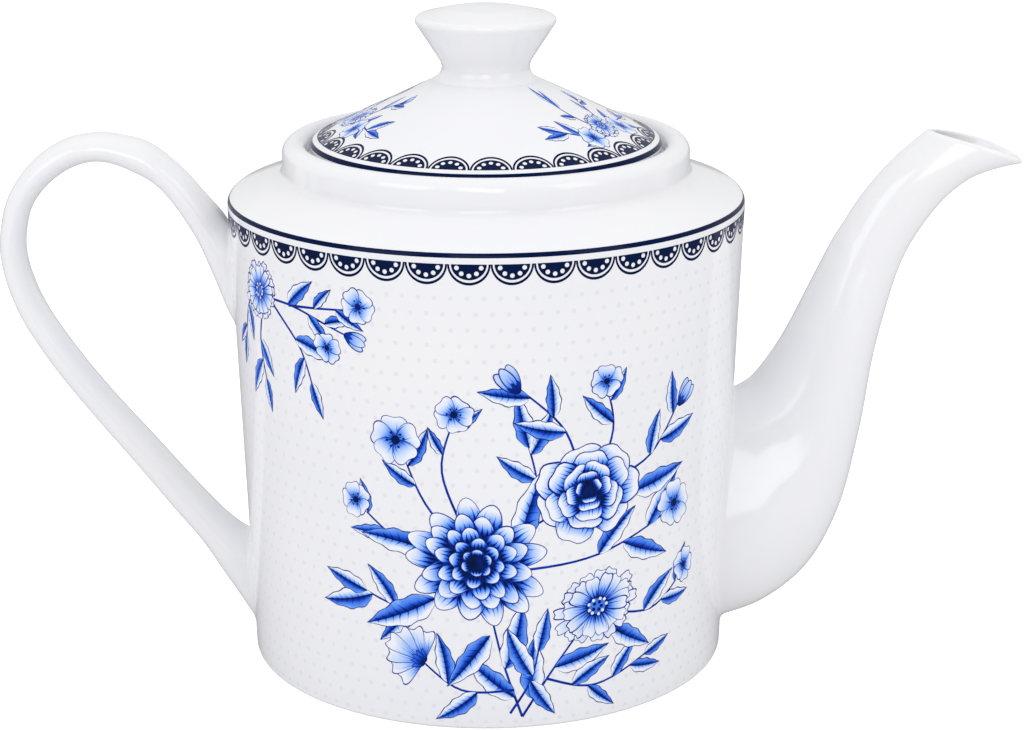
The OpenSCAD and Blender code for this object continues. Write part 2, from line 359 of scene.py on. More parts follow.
# ---- Porcelain ----
DOT_R, DOT_BLUR, DOT_EDGE = 0.55, 0.1, 5.0
DOT_COLUMNS, DOT_ROW = 106, 3.69
DOT_TOP, DOT_BOTTOM = 107.0, 1.5
DOT_COLOUR, DOT_STRENGTH = (0.745, 0.752, 0.815, 1), 0.6
GLAZE_DIM, GLAZE_PALE = (0.856, 0.860, 0.882, 1), (0.885, 0.887, 0.898, 1)
GLAZE_GLOSS, INK_GLOSS = (0.06, 0.13), (0.08, 0.16)


def dot_pattern(add, spot, ground):
    """Pale dots in staggered rows around the outside of the wall, over the ground colour."""
    calc = maths(add)
    x, y, z = add("SeparateXYZ", _0=spot).outputs
    turn = calc("ARCTAN2", x, calc("MULTIPLY", y, -1.0))
    row = calc("DIVIDE", z, DOT_ROW * MM)
    odd = calc("MULTIPLY_ADD", calc("FLOORED_MODULO", calc("FLOOR", row), 2.0), 0.5, 0.5)
    column = calc("MULTIPLY_ADD", turn, DOT_COLUMNS / TAU, odd)
    pitch = TAU * SHOULDER_R / DOT_COLUMNS
    across = calc("MULTIPLY", calc("SUBTRACT", calc("FRACT", column), 0.5), pitch)
    up = calc("MULTIPLY", calc("SUBTRACT", calc("FRACT", row), 0.5), DOT_ROW)
    away = calc("SQRT", calc("ADD", calc("POWER", across, 2.0), calc("POWER", up, 2.0)))
    inside = calc("MULTIPLY", calc("SUBTRACT", DOT_R + DOT_BLUR, away), DOT_EDGE, clamp=True)
    r = calc("SQRT", calc("ADD", calc("POWER", x, 2.0), calc("POWER", y, 2.0)))
    mid_wall = calc("MULTIPLY_ADD", z, (SHOULDER_R - FOOT_R) / SHOULDER_H, (FOOT_R - WALL / 2) * MM)
    outer = calc("GREATER_THAN", r, mid_wall)
    below = calc("LESS_THAN", z, DOT_TOP * MM)
    above = calc("GREATER_THAN", z, DOT_BOTTOM * MM)
    shown = calc("MULTIPLY", calc("MULTIPLY", inside, outer), calc("MULTIPLY", below, above))
    share = calc("MULTIPLY", shown, DOT_STRENGTH)
    return add("Mix", {"data_type": "RGBA"}, _0=share, _6=ground, _7=DOT_COLOUR).outputs[2]


def porcelain(name, dots=False):
    """Glazed porcelain: a cool white with a faint drift of tone and a slightly wavy gloss."""
    material, add = new_material(name)
    spot = add("TexCoord").outputs["Object"]
    drift = add("TexNoise", Vector=spot, Scale=22.0, Detail=3.0)
    tone = add("ValToRGB", _0=drift.outputs[0])
    for end, position, colour in zip(tone.color_ramp.elements, (0.3, 0.7), (GLAZE_DIM, GLAZE_PALE)):
        end.position, end.color = position, colour
    colour = dot_pattern(add, spot, tone.outputs[0]) if dots else tone.outputs[0]
    waves = add("TexNoise", Vector=spot, Scale=45.0, Detail=2.0)
    gloss = mapped(add, waves.outputs[0], (0, 1), GLAZE_GLOSS)
    bump = add("Bump", Strength=0.25, Distance=0.0002, Height=waves.outputs[0])
    shader = add("BsdfPrincipled", Base_Color=colour, Roughness=gloss, Normal=bump.outputs[0])
    add("OutputMaterial", Surface=shader.outputs[0])
    return material


# ---- The castings ----
def make_body(material):
    under = WALL / math.cos(SHOULDER_SLOPE)
    inner_r = SHOULDER_R - WALL
    roll = COLLAR_W / 2 - 0.02
    outline = rounded([
        (0, RECESS, 0), (RECESS_R, RECESS, 1), (RECESS_FLAT_R, 0, 0.3), (FOOT_R, 0, FOOT_ROUND),
        (SHOULDER_R, SHOULDER_H, SHOULDER_ROUND), (COLLAR_R, shoulder_z(COLLAR_R), 1.8),
        (COLLAR_R, COLLAR_TOP, roll), (SEAT_R, COLLAR_TOP, roll), (SEAT_R, SEAT_Z, 0.4),
        (MOUTH_R, SEAT_Z, 1), (MOUTH_R, shoulder_z(MOUTH_R) - under, 1),
        (inner_r, shoulder_z(inner_r) - under, 4), (wall_r(FLOOR_Z) - WALL, FLOOR_Z, 7),
        (0, FLOOR_Z, 0)])
    body = revolve("pot_body", outline, material)
    row_h = HOLE_PITCH * math.sin(math.radians(60))
    holes = [((FOOT_R - 2 * WALL, (i - (count - 1) / 2) * HOLE_PITCH, HOLES_Z + (row - 2) * row_h),
              (1, 0, 0), HOLE_R, 3 * WALL)
             for row, count in enumerate(HOLE_ROWS) for i in range(count)]
    drill(body, holes)
    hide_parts("body")
    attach(body, "pot")


def make_lid(material):
    under = LID_T / math.cos(LID_SLOPE)
    ceiling = PAD_Z - LID_T
    ceiling_r = LID_R - (ceiling + under - LID_EDGE_Z) / math.tan(LID_SLOPE)
    outline = rounded([
        (HOLLOW_R, PAD_Z, 0), (PAD_R, PAD_Z, 0), (LID_R, LID_EDGE_Z, LID_RIM_ROUND),
        (LID_R, LID_Z, 0.8), (FLANGE_R, LID_Z, 0.5), (FLANGE_R, FLANGE_LOW, 1.2),
        (FLANGE_INNER_R, FLANGE_LOW, 1.2),
        (FLANGE_INNER_R, lid_top(FLANGE_INNER_R) - under, 4), (ceiling_r, ceiling, 3),
        (HOLLOW_R, ceiling, 0.8)])
    lid = revolve("pot_lid", outline, material)
    drill(lid, [((0, VENT_AT, SEAT_Z), (0, 0, 1), VENT_R, VENT_LONG)])
    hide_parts("lid")
    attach(lid, "lid_unit")


def make_knob(material):
    edge = KNOB_TOP - KNOB_DOME
    foot = lid_top(NECK_R)
    sunk = PAD_Z - KNOB_SUNK
    outline = rounded([
        (HOLLOW_R, sunk, 0), (PAD_R, sunk, 0), (PAD_R, PAD_Z, 0), (NECK_R, foot, NECK_ROUND),
        (NECK_R, foot + 3, 4), (KNOB_R, edge, 1.3), (KNOB_R / 2, edge + 0.85 * KNOB_DOME, 14),
        (0, KNOB_TOP, 0), (0, edge - HOLLOW_ROOF, 0), (HOLLOW_R, edge - HOLLOW_EDGE, 2.5)], span=2)
    knob = revolve("pot_lid_knob", outline, material)
    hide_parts("lid_knob")
    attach(knob, "lid_unit")


# Stations of the spout and the handle, as shares of the way out and up: how deep and how wide
# between the thin part and the root, the long axis's angle, and the extra width of the belly
SPOUT_SHARES = (
    (0, 0, 1, 90, 1, 0.26), (0.13, 0.04, 0.97, 96, 0.95, 0.25), (0.255, 0.12, 0.89, 103.5, 0.79, 0.22),
    (0.35, 0.238, 0.73, 109, 0.62, 0.17), (0.416, 0.388, 0.46, 116, 0.45, 0.1),
    (0.478, 0.559, 0.18, 126.5, 0.28, 0.04), (0.562, 0.719, 0.01, 147, 0.11, 0),
    (0.675, 0.842, 0, 161, 0.03, 0), (0.814, 0.933, 0.046, 165, 0, 0), (1, 1, 0, 163, -0.04, 0.12))
HANDLE_SHARES = (
    (0, 0.707, 1, 90, 1), (0.038, 0.745, 0.97, 90.4, 0.86), (0.104, 0.807, 0.8, 95, 0.55),
    (0.188, 0.879, 0.61, 100.5, 0.18), (0.32, 0.955, 0.3, 103, 0), (0.45, 0.987, 0.12, 98, 0),
    (0.578, 1, 0.04, 95, 0), (0.708, 0.989, 0.04, 111, 0), (0.825, 0.956, 0.03, 129, 0),
    (0.917, 0.909, 0.01, 150, 0), (0.978, 0.85, 0, 171, 0), (1, 0.755, 0, 186, 0),
    (0.938, 0.644, 0.02, 205, 0), (0.806, 0.53, 0.04, 212, 0), (0.639, 0.416, 0.05, 217, 0),
    (0.469, 0.31, 0.08, 218, 0), (0.303, 0.203, 0.11, 219, 0.14), (0.164, 0.115, 0.18, 239, 0.5),
    (0.08, 0.055, 0.5, 261, 0.86), (0, 0, 0.92, 270, 1))
LEAN = math.degrees(math.atan((SHOULDER_R - FOOT_R) / SHOULDER_H))
ROOT_LOW, ROOT_HIGH, ROOT_HALF = 6.1, 58.8, 19.5
THROAT_DEEP, THROAT_HALF = 17.0, 7.8
MOUTH_LONG, MOUTH_ANGLE = 24.2, math.radians(163)
SPOUT_OUT, SPOUT_RISE = 67.0, 14.8
SPOUT_WALL, SPOUT_THINNING = 2.6, 0.4
RIM_OUTER, RIM_INNER = (0.96, 1.15), (0.6, 0.9)
RIM_ARCH, RIM_ARCH_UNEVEN = 0.8, 0.35
NOSE_OUT, NOSE_DOWN, NOSE_RUN = 0.8, 1.25, 7.5
SPOUT_FILLET, STRAP_FILLET = 1.6, 1.9
JOIN_DEPTH = 0.04
HANDLE_OUT, HANDLE_RISE, HANDLE_LOW = 56.0, 13.8, 16.0
STRAP_T, STRAP_ROOT_H, STRAP_HALF, STRAP_ROOT_HALF = 6.2, 25.0, 6.2, 8.4


def smooth(stations, steps):
    """A smooth curve through rows of numbers, with steps rows for each span."""
    p = np.array([stations[0], *stations, stations[-1]], float)
    u = (np.arange(steps) / steps)[:, None]
    rows = []
    for a, b, c, d in zip(p, p[1:], p[2:], p[3:]):
        rows.append((2 * b + (c - a) * u + (2 * a - 5 * b + 4 * c - d) * u**2
                     + (3 * b - 3 * c + d - a) * u**3) / 2)
    return np.vstack(rows + [p[-1:]])


def section(station, inset, sides):
    """One oval ring around a station (x, z, depth, angle, half width, belly)."""
    x, z, depth, angle, half, belly = station
    t = TAU * np.arange(sides) / sides
    reach = depth / 2 - inset
    return np.stack([x + reach * math.cos(math.radians(angle)) * np.cos(t),
                     (half - inset) * np.sin(t) * (1 - belly * np.cos(t)),
                     z + reach * math.sin(math.radians(angle)) * np.cos(t)], 1)


def rooted(rings, side, fade):
    """Slides the first rings of a tube along X, so that the first one lies on the pot's wall."""
    first = rings[0]
    slide = side * np.sqrt(wall_r(first[:, 2]) ** 2 - first[:, 1] ** 2) - first[:, 0]
    for i in range(min(fade, len(rings))):
        rings[i][:, 0] += slide * (1 - i / fade) ** 2


def onto_wall(points, sunk):
    """Moves points straight out from the pot's axis, to a depth below its wall."""
    r = np.hypot(points[:, 0], points[:, 1])
    scale = (wall_r(points[:, 2]) - sunk) / r
    return np.stack([points[:, 0] * scale, points[:, 1] * scale, points[:, 2]], 1)


def with_fillet(rings, reach):
    """Blends a tube's first ring onto the pot's wall, and spaces the other rings out behind it."""
    steps = 6
    rings = np.array(rings)
    root = rings[0]
    normal = unit(np.stack([root[:, 0], root[:, 1],
                            -wall_r(root[:, 2]) * (SHOULDER_R - FOOT_R) / SHOULDER_H], 1))
    away = unit(np.cross(normal, np.roll(root, -1, 0) - np.roll(root, 1, 0)))
    away *= np.sign(np.sum(away * (root - root.mean(0)), 1))[:, None]
    lines = np.transpose(rings, (1, 0, 2))
    moved = np.empty_like(lines)
    for k, line in enumerate(lines):
        run = np.concatenate([[0], np.cumsum(np.linalg.norm(np.diff(line, axis=0), axis=1))])
        wanted = reach + (run[-1] - reach) * run / run[-1]
        moved[k] = np.stack([np.interp(wanted, run, line[:, axis]) for axis in range(3)], 1)
    start, end = onto_wall(root + reach * away, 0), moved[:, 0]
    blend = []
    for t in np.arange(steps) / steps:
        blend.append((1 - t) ** 2 * start + 2 * t * (1 - t) * root + t**2 * end)
    blend[0] = onto_wall(blend[0], JOIN_DEPTH)
    return blend + list(np.transpose(moved, (1, 0, 2)))


def ring_faces(count, sides, closed):
    faces = []
    for i in range(count if closed else count - 1):
        j = (i + 1) % count
        for k in range(sides):
            m = (k + 1) % sides
            faces.append((i * sides + k, i * sides + m, j * sides + m, j * sides + k))
    return faces


def make_spout(material):
    sides, steps = 96, 12
    middle = ROOT_LOW + ROOT_HIGH / 2
    mouth_x = SHOULDER_R + SPOUT_OUT + MOUTH_LONG / 2 * math.cos(MOUTH_ANGLE)
    mouth_z = SHOULDER_H + SPOUT_RISE - MOUTH_LONG / 2 * math.sin(MOUTH_ANGLE)
    stations = []
    for out, up, deep, angle, wide, belly in SPOUT_SHARES:
        z = middle + up * (mouth_z - middle)
        depth = MOUTH_LONG if up == 1 else THROAT_DEEP + deep * (ROOT_HIGH - THROAT_DEEP)
        stations.append((wall_r(z) + out * (mouth_x - wall_r(z)), z, depth, angle - wide * LEAN,
                         THROAT_HALF + wide * (ROOT_HALF - THROAT_HALF), belly))
    rows = smooth(stations, steps)
    last = len(rows) - 1
    t = TAU * np.arange(sides) / sides
    arch = RIM_ARCH * np.sin(t) ** 2 * (1 - RIM_ARCH_UNEVEN * np.cos(t))
    row_gap = np.linalg.norm(rows[-1][:2] - rows[-2][:2])
    nose = np.maximum(0, -np.cos(t)) ** 3

    def ring(i, inset):
        """The section at row i, which may be between two rows, with the rim's arch and the nose."""
        low = min(int(i), last - 1)
        points = section(rows[low] + (i - low) * (rows[low + 1] - rows[low]), inset, sides)
        points[:, 2] += arch * max(0, i / last * 5 - 4) ** 2
        near = max(0, 1 - (last - i) * row_gap / NOSE_RUN) ** 2
        swell = nose * near * max(0, 1 - inset / RIM_OUTER[0])
        points[:, 0] += NOSE_OUT * swell
        points[:, 2] -= NOSE_DOWN * swell
        return points

    # The wall thins towards the mouth, where an outer and an inner round make the lip.
    # The outer round swells under the tip into a blunt nose
    lip_start = last - RIM_OUTER[1] / row_gap
    outer = [ring(i, 0) for i in range(int(lip_start))]
    inner_end = int(last - RIM_INNER[1] / row_gap)
    inner = [ring(i, SPOUT_WALL * (1 - SPOUT_THINNING * i / last)) for i in range(inner_end)]
    lip = []
    quarter = np.arange(7) / 6
    for (wide, long), turn in ((RIM_OUTER, quarter), (RIM_INNER, 1 - quarter[1:])):
        for a in turn * math.pi / 2:
            side = wide * (1 - math.cos(a))
            inset = side if wide == RIM_OUTER[0] else RIM_OUTER[0] + RIM_INNER[0] - side
            lip.append(ring(last - long / row_gap * (1 - math.sin(a)), inset))
    for rings in (outer, inner):
        rooted(rings, 1, 2 * steps)
    inside_root = onto_wall(inner[0], JOIN_DEPTH)
    rings = with_fillet(outer, SPOUT_FILLET) + lip + inner[:0:-1] + [inside_root]
    faces = [face[::-1] for face in ring_faces(len(rings), sides, True)]
    spout = make_object("pot_spout", np.vstack(rings), faces, material)
    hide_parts("spout")
    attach(spout, "pot")


def make_handle(material):
    sides, steps = 64, 10
    loop_x = SHOULDER_R + HANDLE_OUT - STRAP_T / 2
    loop_z = SHOULDER_H + HANDLE_RISE - STRAP_T / 2
    stations = []
    for out, up, deep, angle, wide in HANDLE_SHARES:
        z = HANDLE_LOW + up * (loop_z - HANDLE_LOW)
        stations.append((-wall_r(z) - out * (loop_x - wall_r(z)), z,
                         STRAP_T + deep * (STRAP_ROOT_H - STRAP_T), angle + wide * LEAN,
                         STRAP_HALF + wide * (STRAP_ROOT_HALF - STRAP_HALF), 0))
    rings = [section(row, 0, sides) for row in smooth(stations, steps)]
    rooted(rings, -1, 2 * steps)
    rings.reverse()
    rooted(rings, -1, 2 * steps)
    rings = with_fillet(rings, STRAP_FILLET)
    rings.reverse()
    rings = with_fillet(rings, STRAP_FILLET)
    count = len(rings)
    faces = ring_faces(count, sides, False)
    faces += [tuple(reversed(range(sides))), tuple((count - 1) * sides + k for k in range(sides))]
    handle = make_object("pot_handle", np.vstack(rings), faces, material)
    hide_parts("handle")
    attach(handle, "pot")


# ---- Prints ----
# Flat marks, in draw order, are laid on a round casting as one closed film of glaze colour
BARE = None
LIFT, SUNK = 0.035, 0.06
LINE_TONE, NAVY_TONE = 0.84, 1.12
# Strokes: how far they wander, their spread of length and shortest, and their edge and depth
STROKE_WANDER, STROKE_LENGTH, STROKE_EDGE, STROKE_DEPTH = 1.1, (0.75, 0.45), 9.0, (0.2, 0.25)
PETAL_STROKE, VEIN_STROKE, VEIN_SLANT = 0.34, 0.15, 0.6
WASH_FADE, WASH_MOTTLE = 0.45, 0.3
INK_PALEST, INK_NAVY, INK_SHEEN = (239, 241, 246), (0, 22, 63), 0.08
INK_TINTS = ((0.2, (184, 209, 250)), (0.45, (88, 144, 240)), (0.68, (22, 76, 208)),
             (0.84, (6, 40, 138)))
# A step that keeps the strokes of two marks apart, and a film's share of its UV map
MARK_STEP = 50
MAP_LOW, MAP_SIZE, MAP_SPARE = 0.04, 0.95, (0.02, 0.01)
Mark = namedtuple("Mark", "outline base tip strokes reach axis veins hidden",
                  defaults=(0, 0, None, False, 0))


class Sheet(list):
    """Marks in draw order, with the random numbers that vary them."""

    def __init__(self, seed):
        super().__init__()
        self.rng = np.random.default_rng(seed)


class Axis:
    """A petal's or leaf's own frame: x is the share of its length, y runs across it."""

    def __init__(self, at, angle, length, width, ends, bend):
        turn = math.radians(angle)
        self.at, self.length, self.width, self.ends, self.bend = np.array(at), length, width, ends, bend
        self.along = np.array((math.cos(turn), math.sin(turn)))
        self.across = np.array((-math.sin(turn), math.cos(turn)))

    def half(self, x):
        """Half the width at x; ends are how slowly it tapers to its foot and to its tip."""
        foot, tip = self.ends
        peak = foot / (foot + tip)
        x = np.clip(x, 0, 1)
        return self.width / 2 * (x / peak) ** foot * ((1 - x) / (1 - peak)) ** tip

    def out(self, x, y):
        x, y = np.asarray(x)[:, None], np.asarray(y)[:, None]
        return self.at + x * self.length * self.along + (y + self.bend * x**2) * self.across

    def back(self, points):
        local = points - self.at
        x = local @ self.along / self.length
        return x, local @ self.across - self.bend * x**2


def petal(sheet, at, angle, length, width, ends=(0.8, 0.35), bend=0, tones=(0.85, 0.0), strokes=7,
          reach=0.75, line=0.24, ripple=0, notch=0, hidden=0):
    """A petal: its outline, and its wash on top, which starts where other petals cease to hide it."""
    axis = Axis(at, angle, length, width, ends, bend)
    x = (1 - np.cos(np.linspace(0, math.pi, 15))) / 2
    wave = [1 + ripple * np.sin(19 * x + TAU * start) for start in sheet.rng.random(2)]
    y = np.concatenate([axis.half(x) * wave[0], -(axis.half(x) * wave[1])[-2:0:-1]])
    x = np.concatenate([x, x[-2:0:-1]])
    x = x * (1 - notch * np.exp(-(y / width * 6) ** 2))
    thin = line * sheet.rng.uniform(0.6, 1.3)
    sheet.append(Mark(axis.out(x, y), LINE_TONE, LINE_TONE))
    wash = axis.out(x * (1 - thin / length), y * (1 - 2 * thin / width))
    sheet.append(Mark(wash, *tones, strokes, reach, axis, False, hidden))


def leaf(sheet, at, angle, length, width, bend=0):
    """A leaf: two halves with fine veins that slant from its rib, one of them in shadow."""
    line = 0.22
    axis = Axis(at, angle, length, width, (0.7, 1.1), bend)
    x = np.linspace(0, 1, 18)
    wave = 1 + 0.09 * np.sin(23 * x + TAU * sheet.rng.random())
    edge = axis.half(x) * wave
    there_and_back = np.concatenate([x, x[-2:0:-1]])
    dark = sheet.rng.choice((1, -1))
    for side in (1, -1):
        tones = (1.0, 0.4) if side == dark else (0.62, -0.1)
        for inset, run in ((0, 1), (2 * line / width, 1 - 1.5 * line / length)):
            y = side * np.concatenate([0 * x, edge[-2:0:-1] * (1 - inset)])
            outline = axis.out(there_and_back * run, y)
            look = (*tones, 9, 1.1, axis, True) if inset else (0.88, 0.88)
            sheet.append(Mark(outline, *look))
    rib = [(*point, 0.42 * (1 - 0.8 * share)) for share, point in zip(x, axis.out(x, 0 * x))]
    band(sheet, rib[:-1], 0.95)


def band(sheet, rows, tone):
    """A stroke through rows of (u, v, width)."""
    rows = np.array(rows)
    away = np.gradient(rows[:, :2], axis=0)
    side = unit(np.stack([-away[:, 1], away[:, 0]], 1)) * rows[:, 2:] / 2
    sheet.append(Mark(np.vstack([rows[:, :2] - side, (rows[:, :2] + side)[::-1]]), tone, tone))


def disc(sheet, at, rx, ry=None, tone=0.9):
    a = TAU * np.arange(14) / 14
    sheet.append(Mark(np.array(at) + np.stack([rx * np.cos(a), (ry or rx) * np.sin(a)], 1), tone, tone))


def leaned(way, face):
    """A direction on a flower's face, foreshortened by face's share along the way it leans."""
    lean = heading(math.radians(face[1]))
    return way - (1 - face[0]) * (way @ lean) * lean


def heading(turn):
    return np.array((math.cos(turn), math.sin(turn)))


def whorl(sheet, at, count, length, width, start, face, **look):
    """Petals around a flower's heart, laid down in a random order."""
    for k in sheet.rng.permutation(count):
        turn = math.radians(start + 360 * k / count + sheet.rng.normal(0, 3))
        way = leaned(length * sheet.rng.uniform(0.93, 1.06) * heading(turn), face)
        reach = np.linalg.norm(way)
        angle = math.degrees(math.atan2(way[1], way[0]))
        petal(sheet, at, angle, reach, width * face[0] * length / reach,
              bend=sheet.rng.normal(0, 0.04) * reach, **look)


def stamens(sheet, at, count, radius, size, tone, face):
    for k in range(count):
        turn = TAU * (k + sheet.rng.uniform(-0.2, 0.2)) / count
        way = leaned(radius * sheet.rng.uniform(0.85, 1.1) * heading(turn), face)
        disc(sheet, at + way, size, tone=tone)


def dahlia(sheet, at, radius, face=(0.86, 70)):
    """Rings of pointed petals, shorter and darker towards the heart."""
    for count, size in ((13, 1), (12, 0.8), (10, 0.6), (8, 0.41), (6, 0.23)):
        whorl(sheet, at, count, radius * size, 5.2 * radius * size / count, 95 * size, face,
              ends=(0.75, 0.55), tones=(0.95, 0.1 - 0.15 * size), strokes=5, reach=0.8, hidden=0.6)
    disc(sheet, at, 0.08 * radius, tone=0.95)


def rose(sheet, at, radius, face=(0.88, 100)):
    """Broad round petals that close up towards the heart."""
    for count, size, start in ((7, 1, 0), (6, 0.8, 25), (5, 0.6, 60), (4, 0.42, 10), (3, 0.26, 40)):
        width = (0.78 + 0.35 * (1 - size)) * radius * size
        whorl(sheet, at, count, radius * size, width, start, face, ends=(0.6, 0.36), ripple=0.04,
              notch=0.04, tones=(0.98, -0.1), strokes=9, reach=0.8, line=0.28, hidden=0.52)
    disc(sheet, at, 0.1 * radius, tone=0.95)


def daisy(sheet, at, radius, face=(0.8, 110)):
    """Slim notched petals around a seeded heart."""
    for size, start in ((1, 0), (0.84, 11)):
        whorl(sheet, at, 16, radius * size, 0.34 * radius, start, face, ends=(0.9, 0.25),
              notch=0.05, tones=(0.9, 0.0), strokes=4, reach=0.9, hidden=0.2)
    disc(sheet, at, 0.27 * radius, 0.23 * radius, tone=0.9)
    disc(sheet, at, 0.2 * radius, 0.17 * radius, tone=0.55)
    stamens(sheet, at, 9, 0.22 * radius, 0.035 * radius, 0.05, face)
    stamens(sheet, at, 5, 0.1 * radius, 0.04 * radius, 0.95, face)


def blossom(sheet, at, radius, face=(0.9, 60), start=90):
    """A small flower of five round petals."""
    whorl(sheet, at, 5, radius, 1.05 * radius, start, face, ends=(0.65, 0.28), notch=0.07,
          tones=(0.85, 0.0), strokes=6, reach=0.7, line=0.2)
    disc(sheet, at, 0.17 * radius, tone=0.95)
    stamens(sheet, at, 6, 0.33 * radius, 0.05 * radius, 0.9, face)


def bud(sheet, at, angle, length):
    """Three closed petals in a short calyx."""
    for turn in (-15, 15, 0):
        petal(sheet, at, angle + turn, length, 0.42 * length, (0.7, 0.6), tones=(0.85, 0.15), strokes=4)
    for turn in (-30, 30, 0):
        petal(sheet, at, angle + turn, 0.42 * length, 0.16 * length, (0.6, 0.8), tones=(0.95, 0.8),
              strokes=2)


def bell(sheet, at, angle, radius):
    """A flower from the side: trumpet petals fanned out of a short calyx."""
    for turn in (-66, 64, -44, 40, -21, 20, 0):
        length = radius * (1 - abs(turn) / 280)
        petal(sheet, at, angle + turn, length, 0.42 * radius, (1.3, 0.2), notch=0.08,
              tones=(0.95, 0.0), strokes=5, reach=0.9)
    for turn in (-52, 50, -26, 24, 0):
        petal(sheet, at, angle + turn, 0.34 * radius, 0.15 * radius, (0.5, 0.8), tones=(0.98, 0.6),
              strokes=3)


def branch(sheet, points, leaves, size, width=0.65):
    """A tapered stem with leaves on alternate sides, at the given shares of its length."""
    widths = np.linspace(width, 0.4, len(points))
    band(sheet, smooth([(*point, wide) for point, wide in zip(points, widths)], 7), 0.8)
    rows = smooth(points, 7)
    for k, share in enumerate(leaves):
        i = min(int(share * len(rows)), len(rows) - 2)
        way = rows[i + 1] - rows[i]
        side = 0 if share == 1 else 1 - 2 * (k % 2)
        angle = math.degrees(math.atan2(way[1], way[0])) + side * sheet.rng.uniform(36, 56)
        long = size * sheet.rng.uniform(0.9, 1.3)
        leaf(sheet, rows[i], angle, long, 0.36 * long, bend=-side * 0.14 * long)


class Skin:
    """The outside of a round casting: u runs around at a radius, from the front to +X; v runs up."""

    def __init__(self, corners, radius):
        self.line = np.array(rounded(corners, step=2, span=1e9))
        self.radius = radius
        step = np.diff(self.line, axis=0)
        self.run = np.concatenate([[0], np.cumsum(np.linalg.norm(step, axis=1))])
        flat = unit(np.stack([step[:, 1], -step[:, 0]], 1))
        self.slant = unit(np.vstack([flat[:1], flat[:-1] + flat[1:], flat[-1:]]))

    def up_to(self, z):
        return np.interp(z, self.line[:, 1], self.run)

    def normal(self, flat):
        a = flat[:, 0] / self.radius
        out, up = (np.interp(flat[:, 1], self.run, self.slant[:, axis]) for axis in (0, 1))
        return unit(np.stack([out * np.sin(a), -out * np.cos(a), up], 1))

    def at(self, flat, lift):
        a = flat[:, 0] / self.radius
        r, z = (np.interp(flat[:, 1], self.run, self.line[:, axis]) for axis in (0, 1))
        return np.stack([r * np.sin(a), -r * np.cos(a), z], 1) + lift * self.normal(flat)


def linear(r, g, b):
    return tuple(((c / 255 + 0.055) / 1.055) ** 2.4 for c in (r, g, b)) + (1,)


def corner_values(add, name):
    """The three numbers that a film's corners carry under a name."""
    return add("SeparateXYZ", _0=add("Attribute", {"attribute_name": name}).outputs["Vector"]).outputs


def print_ink(name):
    """Transfer ink under the glaze: a wash along each petal, with pointed strokes over it."""
    material, add = new_material(name)
    calc = maths(add)
    along, number, stroke_w = corner_values(add, "place")
    base, tip, mark_reach = corner_values(add, "ink")
    spot = add("TexCoord").outputs["Object"]
    grain = add("TexNoise", Vector=spot, Scale=900.0, Detail=2.0).outputs[0]
    cloud = add("TexNoise", Vector=spot, Scale=260.0, Detail=3.0).outputs[0]
    drift = calc("SUBTRACT", cloud, 0.5)
    across = calc("ADD", number, calc("MULTIPLY", drift, STROKE_WANDER))
    lot = add("TexWhiteNoise", {"noise_dimensions": "1D"}, W=calc("FLOOR", across)).outputs["Value"]
    reach = calc("MULTIPLY", mark_reach, calc("MULTIPLY_ADD", lot, *STROKE_LENGTH))
    left = calc("SUBTRACT", 1.0, calc("DIVIDE", along, calc("MAXIMUM", reach, 0.01)), clamp=True)
    middle = calc("ABSOLUTE", calc("SUBTRACT", calc("FRACT", across), 0.5))
    body = calc("SUBTRACT", calc("MULTIPLY", left, stroke_w), middle)
    stroke = calc("MULTIPLY", body, STROKE_EDGE, clamp=True)
    fade = add("MapRange", {"interpolation_type": "SMOOTHSTEP"}, Value=along).outputs[0]
    wash = calc("MULTIPLY_ADD", calc("SUBTRACT", tip, base), calc("POWER", fade, WASH_FADE), base)
    tone = calc("ADD", wash, calc("MULTIPLY", drift, WASH_MOTTLE))
    deep = calc("ADD", tone, calc("MULTIPLY", stroke, calc("MULTIPLY_ADD", grain, *STROKE_DEPTH)))
    colour = add("ValToRGB", _0=deep)
    ramp = colour.color_ramp.elements
    ramp[0].color, ramp[1].color = linear(*INK_PALEST), linear(*INK_NAVY)
    for position, tint in INK_TINTS:
        ramp.new(position).color = linear(*tint)
    bump = add("Bump", Strength=0.15, Distance=0.0001, Height=grain)
    gloss = mapped(add, cloud, (0, 1), INK_GLOSS)
    shader = add("BsdfPrincipled", Base_Color=colour.outputs[0], Roughness=gloss,
                 Specular_IOR_Level=INK_SHEEN, Normal=bump.outputs[0])
    add("OutputMaterial", Surface=shader.outputs[0])
    return material


def turned_left(outline):
    x, y = outline[:, 0], outline[:, 1]
    return outline if x @ np.roll(y, -1) - y @ np.roll(x, -1) > 0 else outline[::-1]


